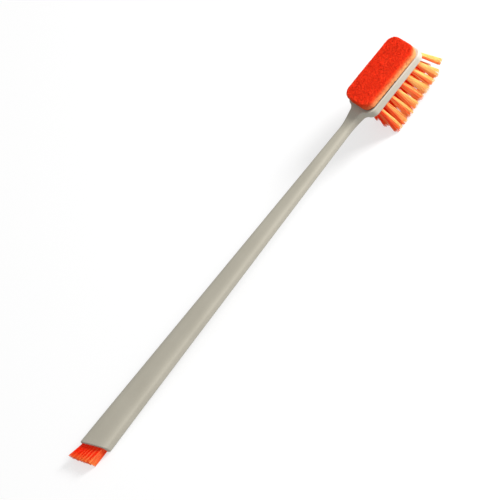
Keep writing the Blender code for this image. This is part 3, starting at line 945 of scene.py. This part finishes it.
def tuft_look(name):
    """Spread of a tuft at its tips and its mean paleness: the outer tufts fan less, and are paler with
    painted light that grows towards the lit tip; the middle tufts are deeper red with painted shade, all but
    the first, which gets painted light.
    """
    column, _, number = name.partition("_")
    if column == "tip":
        return TIP_TUFT_SPREAD, TIP_TUFT_PAINTED_LIGHT_PALENESS
    if column == "middle":
        return MIDDLE_SPREAD, FIRST_MIDDLE_PAINTED_LIGHT_PALENESS if number == "1" else MIDDLE_PAINTED_SHADE_PALENESS
    share = (int(number) - 1) / (COLUMN_TUFTS - 1)
    return OUTER_SPREAD, between(OUTER_REAR_PALENESS, OUTER_TIP_PAINTED_LIGHT_PALENESS, share)


def tuft_mesh(name, x, y, lean_x, lean_y, rng):
    """Filaments from one hole that fan out evenly, with a few loose clumps, towards their tips."""
    root = disc_places(TUFT_FILAMENTS, TUFT_RADIUS - FILAMENT_RADIUS, rng.uniform(0, 2 * math.pi))
    middles = disc_places(TUFT_CLUMPS, TUFT_RADIUS, rng.uniform(0, 2 * math.pi))
    clump = np.argmin(((root[:, None] - middles) ** 2).sum(axis=2), axis=1)
    drift = rng.normal(0, TIP_WANDER, (TUFT_CLUMPS, 2)) + rng.normal(0, TIP_WANDER, 2)
    spread, paleness = tuft_look(name)
    push = root * [spread / TUFT_RADIUS, SIDE_SPREAD_SHARE * spread / TUFT_RADIUS]
    push += (middles[clump] - root) * CLUMP_PULL_SHARE
    push += drift[clump] + rng.normal(0, FILAMENT_WANDER, root.shape)
    slope = np.array([math.tan(lean_x), math.tan(lean_y)])
    mean_slope = slope + push / BRISTLE_LENGTH_REAR
    reach = bristle_reach(x + root[:, 0], -HEAD_UNDERSIDE_DEPTH, mean_slope[:, 0])
    if name == "tip":
        reach = reach * TIP_TUFT_REACH_SHARE
    reach = reach * (1 - np.abs(rng.normal(0, TRIM_SPREAD_SHARE / 2, TUFT_FILAMENTS)))
    reach = reach * (1 - np.abs(rng.normal(0, TRIM_SPREAD_SHARE / 2, TUFT_CLUMPS)))[clump]
    folded = root * FOLD_SHARES
    folded[:, 0] += np.where(root[:, 0] < 0, -1, 1) * (ANCHOR_THICKNESS / 2 + FILAMENT_RADIUS)
    wave = rng.normal(0, FILAMENT_WAVE, root.shape)
    stations = [np.column_stack([folded, np.full(TUFT_FILAMENTS, TUFT_DEPTH - GAP)])]
    for share in np.linspace(0, 1, TUFT_STATIONS):
        drop = reach * share
        offset = slope * drop[:, None] + push * share**TUFT_BEND_POWER
        offset = offset + wave * math.sin(FILAMENT_WAVE_HALF_TURNS * math.pi * share)
        stations.append(np.column_stack([root + offset, -drop]))
    paths = np.stack(stations, axis=1) + [x, y, -HEAD_UNDERSIDE_DEPTH]
    radii = filament_radii(rng, *paths.shape[:2])
    mesh = strand_mesh(name, paths, radii, FILAMENT_SIDES, (0, 1, 0))
    # Painted light and shade: each tuft is paler on its tipward side, where the light falls, and deeper red
    # on its rearward side.
    shades = paleness + TIPWARD_PAINTED_LIGHT * root[:, 0] / TUFT_RADIUS + rng.normal(0, TUFT_PALENESS_SPREAD)
    shades += rng.uniform(-CLUMP_PALENESS_SPREAD, CLUMP_PALENESS_SPREAD, TUFT_CLUMPS)[clump]
    shades += rng.normal(0, FILAMENT_PALENESS_SPREAD, TUFT_FILAMENTS)
    add_strand_shades(mesh, shades, TUFT_PAINTED_SHADE_RISE, paths.shape[1], FILAMENT_SIDES)
    return mesh


def build_tufts(places, material):
    for number, (name, x, y, lean_x, lean_y) in enumerate(places):
        rng = np.random.default_rng(TUFT_SEED + number)
        mesh = tuft_mesh(name, x, y, lean_x, lean_y, rng)
        new_piece(f"bristles_{name}", mesh, material, [f"tuft_{name}"])


def strip_places(room_y, room_z):
    """Places in staggered rows over the slot, within the given room on each side of its middle."""
    places = []
    for row in range(STRIP_ROWS):
        z = between(-room_z, room_z, row / (STRIP_ROWS - 1))
        for i in range(STRIP_FILAMENTS_PER_ROW):
            share = (i + ROW_STAGGER_SHARES[row % 2]) / STRIP_FILAMENTS_PER_ROW
            places.append((between(-room_y, room_y, share), z))
    return np.array(places)


def build_end_bristles(material):
    """A flat strip of filaments that flares a little, follows the slant and waves in clumps."""
    rng = np.random.default_rng(STRIP_SEED)
    room_y = STRIP_WIDTH / 2 + GAP - FILAMENT_RADIUS
    room_z = STRIP_THICKNESS / 2 + GAP - FILAMENT_RADIUS
    root = strip_places(room_y, room_z)
    count = len(root)
    root = root + rng.normal(0, STRIP_ROOT_SPREAD, (count, 2))
    turns = root[:, 0] / STRIP_CLUMP_PITCH
    phase = 2 * np.pi * (turns + STRIP_CLUMP_UNEVENNESS * np.sin(turns))
    pull = wander(root) * TIP_WANDER + rng.normal(0, FILAMENT_WANDER, root.shape)
    pull[:, 0] += STRIP_DRIFT - STRIP_CLUMP_PULL * np.sin(phase)
    slope_y = math.tan(STRIP_LEAN) + STRIP_FLARE_SHARE * 2 * root[:, 0] / STRIP_WIDTH
    slope_z = STRIP_FLARE_SHARE * 2 * root[:, 1] / STRIP_THICKNESS
    reach = STRIP_BRISTLE_LENGTH / (1 + slope_y * math.tan(END_SLANT))
    trim = STRIP_TRIM_WAVE * (1 - np.cos(phase)) + rng.uniform(0, STRIP_TRIM_SPREAD, count)
    reach = reach * (1 - STRIP_TRIM_SHARE * trim)
    stations = []
    for depth in (STRIP_DEPTH - GAP, STRIP_DEPTH / 2):
        stations.append(np.column_stack([np.full(count, depth), root]))
    for share in np.linspace(0, 1, STRIP_STATIONS):
        offset = np.column_stack([slope_y, slope_z]) * (reach * share)[:, None]
        offset = offset + pull * share**STRIP_BEND_POWER
        x = -reach * share + offset[:, 0] * math.tan(END_SLANT)
        stations.append(np.column_stack([x, root + offset]))
    paths = np.stack(stations, axis=1)
    paths[:, :, 0] -= paths[:, :, 1] * math.tan(END_SLANT)
    radii = filament_radii(rng, *paths.shape[:2])
    mesh = strand_mesh("end_filaments", paths, radii, FILAMENT_SIDES, (0, 0, 1))
    # Painted light and shade: the strip is paler on its clumps and deeper red between them, and paler on its
    # lit -Y side.
    shades = STRIP_PALENESS + STRIP_CLUMP_PAINTED_SHADE * np.cos(phase)
    shades = shades - STRIP_SIDE_PAINTED_LIGHT * root[:, 0] / room_y + rng.normal(0, STRIP_PALENESS_SPREAD, count)
    add_strand_shades(mesh, shades, STRIP_PAINTED_SHADE_RISE, paths.shape[1], FILAMENT_SIDES)
    new_piece("end_filaments", mesh, material, ["end_bristles"])


# Pad and its film of adhesive

def slab_mesh(name, length, width, corner, low, high, edge):
    """A rounded rectangle from low to high, with its upper edge rounded."""
    bm = bmesh.new()
    outline = rounded_corners(length / 2, width / 2, corner)
    base = bm.faces.new([bm.verts.new((x, y, 0)) for x, y in outline])
    bmesh.ops.translate(bm, vec=(0, 0, low), verts=bm.verts)
    raised = bmesh.ops.extrude_face_region(bm, geom=[base])["geom"]
    top_verts = [item for item in raised if isinstance(item, bmesh.types.BMVert)]
    bmesh.ops.translate(bm, vec=(0, 0, high - low), verts=top_verts)
    rim = [item for item in raised if isinstance(item, bmesh.types.BMEdge)]
    bmesh.ops.bevel(bm, geom=rim, offset=edge, segments=EDGE_STEPS, profile=ROUND_PROFILE, affect="EDGES")
    bmesh.ops.recalc_face_normals(bm, faces=bm.faces)
    return mesh_from(bm, name)


def remeshed(mesh):
    obj = helper_object(mesh)
    modifier = obj.modifiers.new("even_grid", "REMESH")
    modifier.mode = "VOXEL"
    modifier.voxel_size = PAD_VOXEL
    return baked_mesh(obj, mesh.name)


def vectors_of(items, name):
    """One row of three numbers from each item."""
    values = np.zeros(len(items) * 3)
    items.foreach_get(name, values)
    return values.reshape(-1, 3)


def roughened(mesh, size, height):
    """Pushes each point along its normal by noise of two sizes."""
    points = vectors_of(mesh.vertices, "co")
    normals = vectors_of(mesh.vertex_normals, "vector")
    pushes = []
    for point in points:
        coarse = noise.noise(Vector(point) / size)
        fine = noise.noise(Vector(point) / (size * FINE_RELIEF_SIZE_SHARE) + FINE_RELIEF_SHIFT)
        pushes.append(coarse + FINE_RELIEF_SHARE * fine)
    points += normals * (height * np.array(pushes))[:, None]
    mesh.vertices.foreach_set("co", points.ravel())
    mesh.update()


def side_share(normals_up):
    """0 where the pad faces up, 1 where it faces sideways."""
    return np.clip((PAD_SIDE_UP - normals_up) / PAD_SIDE_UP_RUN, 0, 1)


def painted_side_light_share(points):
    """How much painted light the pad's sides get: 0 at their top, most at their foot, and least at the rear
    end, which faces away from the light.
    """
    height_share = points[:, 2] / (PAD_THICKNESS - PAD_EDGE)
    down = np.clip((1 - height_share) / PAD_PAINTED_LIGHT_DEPTH_SHARE, 0, 1)
    stations = (-PAD_LENGTH / 2, -PAD_LENGTH / 2 + PAD_CORNER, PAD_LENGTH / 2)
    return down * np.interp(points[:, 0], stations, PAD_PAINTED_LIGHT_SHARES)


def fibre_paths(surface, count, rng):
    """Fibres that wander over the pad's skin with their ends under it, and which way it faces."""
    tree = BVHTree.FromPolygons(
        [vertex.co for vertex in surface.vertices],
        [tuple(face.vertices) for face in surface.polygons],
    )
    areas = np.array([face.area for face in surface.polygons])
    ups = np.array([face.normal.z for face in surface.polygons])
    chances = areas * (ups > FIBRE_LOWEST_UP)
    runs = FIBRE_POINTS - 1
    paths, sides = [], []
    for start in rng.choice(len(areas), count, p=chances / chances.sum()):
        face = surface.polygons[int(start)]
        point, normal = face.center.copy(), face.normal.copy()
        heading = normal.orthogonal()
        heading.rotate(Matrix.Rotation(rng.uniform(0, 2 * math.pi), 3, normal))
        bend = rng.normal(0, FIBRE_BEND)
        length = FIBRE_LENGTH * rng.uniform(*FIBRE_LENGTH_SHARES)
        lift = FIBRE_LIFT * rng.uniform(*FIBRE_LIFT_SHARES)
        path = []
        for share in np.linspace(0, 1, FIBRE_POINTS):
            hit, up, _, _ = tree.find_nearest(point)
            path.append(hit + up * (lift * math.sin(math.pi * share) - FIBRE_SINK))
            heading = (heading - up * heading.dot(up)).normalized()
            heading.rotate(Matrix.Rotation(bend / runs, 3, up))
            point = hit + heading * length / runs
        paths.append(path)
        sides.append(normal.z)
    return np.array(paths), np.array(sides)


def loose_end_paths(surface, count, rng):
    """Short fibre ends that stand off the pad's skin, and which way it faces."""
    faces = [face for face in surface.polygons if face.normal.z > LOOSE_END_LOWEST_UP]
    paths, sides = [], []
    for pick in rng.integers(0, len(faces), count):
        face = faces[int(pick)]
        lean = Vector(rng.normal(0, LOOSE_END_LEAN, 3))
        upright = face.normal * lean.dot(face.normal)
        lean = (face.normal + lean - upright * LOOSE_END_LEVEL_SHARE).normalized()
        length = LOOSE_END_LENGTH * rng.uniform(*LOOSE_END_LENGTH_SHARES)
        curl = face.normal.cross(lean) * length * LOOSE_END_CURL_SHARE
        path = []
        for share in np.linspace(0, 1, FIBRE_POINTS):
            path.append(face.center + lean * length * (share - LOOSE_END_SINK_SHARE) + curl * share**2)
        paths.append(path)
        sides.append(face.normal.z)
    return np.array(paths), np.array(sides)


def joined(meshes, name):
    """One mesh made of several, which go."""
    bm = bmesh.new()
    for mesh in meshes:
        bm.from_mesh(mesh)
        bpy.data.meshes.remove(mesh)
    return mesh_from(bm, name)


def build_pad(material):
    """A core with a rough skin, and the fibres that lie on it and stand off it."""
    rng = np.random.default_rng(PAD_SEED)
    core = slab_mesh("pad_core", PAD_LENGTH, PAD_WIDTH, PAD_CORNER, GAP / 3, PAD_THICKNESS, PAD_EDGE)
    core = remeshed(core)
    ups = vectors_of(core.vertex_normals, "vector")[:, 2]
    roughened(core, PAD_RELIEF_SIZE, PAD_RELIEF)
    set_attribute(core, "shade", np.full(len(ups), PAD_CORE_SHADE))
    set_attribute(core, "side", side_share(ups))
    set_attribute(core, "low", painted_side_light_share(vectors_of(core.vertices, "co")))
    web, web_up = fibre_paths(core, FIBRE_COUNT, rng)
    loose, loose_up = loose_end_paths(core, LOOSE_END_COUNT, rng)
    paths = np.concatenate([web, loose])
    count = len(paths)
    own_radii = FIBRE_RADIUS * rng.uniform(*FIBRE_RADIUS_SHARES, (count, 1))
    fibres = strand_mesh("pad_fibres", paths, own_radii * FIBRE_TAPER_SHARES, FIBRE_SIDES, FIBRE_ACROSS)
    points_each = FIBRE_POINTS * FIBRE_SIDES
    shades = rng.uniform(*FIBRE_SHADES, count)
    sides = side_share(np.concatenate([web_up, loose_up]))
    set_attribute(fibres, "shade", np.repeat(shades, points_each))
    set_attribute(fibres, "side", np.repeat(sides, points_each))
    set_attribute(fibres, "low", painted_side_light_share(vectors_of(fibres.vertices, "co")))
    mesh = joined([core, fibres], "pad_fleece")
    mesh.shade_smooth()
    pad = new_piece("pad_fleece", mesh, material, ["scrub_pad"], PAD_PLACE)


def build_adhesive(material):
    """The film fills the room between the plate and the pad, up into the pad's lowest fibres."""
    film = slab_mesh(
        "adhesive_bed",
        PAD_LENGTH - 2 * FILM_INSET,
        PAD_WIDTH - 2 * FILM_INSET,
        PAD_CORNER - FILM_INSET,
        -(ADHESIVE_THICKNESS + 2 * GAP),
        GAP / 2,
        GAP / 2,
    )
    film = remeshed(film)
    roughened(film, PAD_RELIEF_SIZE * FILM_RELIEF_SIZE_SHARE, PAD_RELIEF * FILM_RELIEF_SHARE)
    film.shade_smooth()
    new_piece("adhesive_bed", film, material, ["pad_adhesive"], PAD_PLACE)


# Stage

def build_floor():
    mesh = bpy.data.meshes.new("floor")
    half = FLOOR_SIDE / 2
    corners = [(-half, -half, 0), (half, -half, 0), (half, half, 0), (-half, half, 0)]
    mesh.from_pydata(corners, [], [(0, 1, 2, 3)])
    mesh.materials.append(floor_material())
    floor = placed("floor", mesh)


def build_surround():
    """A surround that is seen at full white, and lights the brush more from its right side."""
    world = bpy.data.worlds.new("studio")
    bpy.context.scene.world = world
    world.use_nodes = True
    tree = world.node_tree
    background = tree.nodes["Background"]
    background.inputs["Color"].default_value = (1.0, 1.0, 1.0, 1.0)
    facing = add_node(tree, "ShaderNodeVectorMath", operation="DOT_PRODUCT")
    tree.links.new(add_node(tree, "ShaderNodeTexCoord").outputs["Generated"], facing.inputs[0])
    facing.inputs[1].default_value = SURROUND_DIRECTION.normalized()
    low, high = SURROUND_STRENGTH - SURROUND_SLANT, SURROUND_STRENGTH + SURROUND_SLANT
    level = mapped(tree, facing.outputs["Value"], (-1.0, 1.0), (low, high))
    strength = add_node(tree, "ShaderNodeMix", data_type="FLOAT")
    share, first, second = [strength.inputs[number] for number in MIX_NUMBER_INPUTS]
    tree.links.new(seen_share(tree), share)
    tree.links.new(level, first)
    second.default_value = 1.0
    tree.links.new(strength.outputs[MIX_NUMBER_OUTPUT], background.inputs["Strength"])


def build_key():
    data = bpy.data.lights.new("key", "AREA")
    data.shape = "SQUARE"
    data.size = KEY_SIDE
    # The power that lights a white card, square to the lamp, to the given level
    data.energy = KEY_LEVEL * math.pi**2 * KEY_DISTANCE**2
    key = placed("key", data)
    toward = KEY_DIRECTION.normalized()
    key.location = CAMERA_AIM + toward * KEY_DISTANCE
    key.rotation_mode = "QUATERNION"
    key.rotation_quaternion = toward.to_track_quat("Z", "Y")


def build_camera():
    data = bpy.data.cameras.new("camera")
    data.sensor_width = SENSOR_WIDTH_MM
    data.angle = 2 * math.atan(PHOTO_SIDE_PX / 2 / FOCAL_LENGTH_PX)
    data.clip_start = CLIP_NEAR
    data.clip_end = CLIP_FAR
    camera = placed("camera", data)
    azimuth, flat = CAMERA_AZIMUTH, math.cos(CAMERA_ELEVATION)
    back = Vector((math.sin(azimuth) * flat, -math.cos(azimuth) * flat, math.sin(CAMERA_ELEVATION)))
    right = Vector((math.cos(azimuth), math.sin(azimuth), 0))
    up = back.cross(right)
    rolled_up = up * math.cos(CAMERA_ROLL) + right * math.sin(CAMERA_ROLL)
    rolled_right = rolled_up.cross(back)
    turn = Matrix((rolled_right, rolled_up, back)).transposed().to_4x4()
    camera.matrix_world = Matrix.Translation(CAMERA_AIM + back * CAMERA_DISTANCE) @ turn
    bpy.context.scene.camera = camera


def dress_anchors():
    material = anchor_material()
    for name, node in frame["nodes"].items():
        if name.startswith("anchor_") or name == "end_bristle_wire":
            for material_slot in node.material_slots:
                material_slot.material = material


def main():
    bpy.context.scene.view_settings.view_transform = "Standard"
    build_camera()
    build_floor()
    build_surround()
    build_key()
    places = tuft_places()
    build_handle(places, handle_material())
    nylon = bristle_material()
    build_tufts(places, nylon)
    build_end_bristles(nylon)
    build_pad(pad_material())
    build_adhesive(adhesive_material())
    dress_anchors()


main()
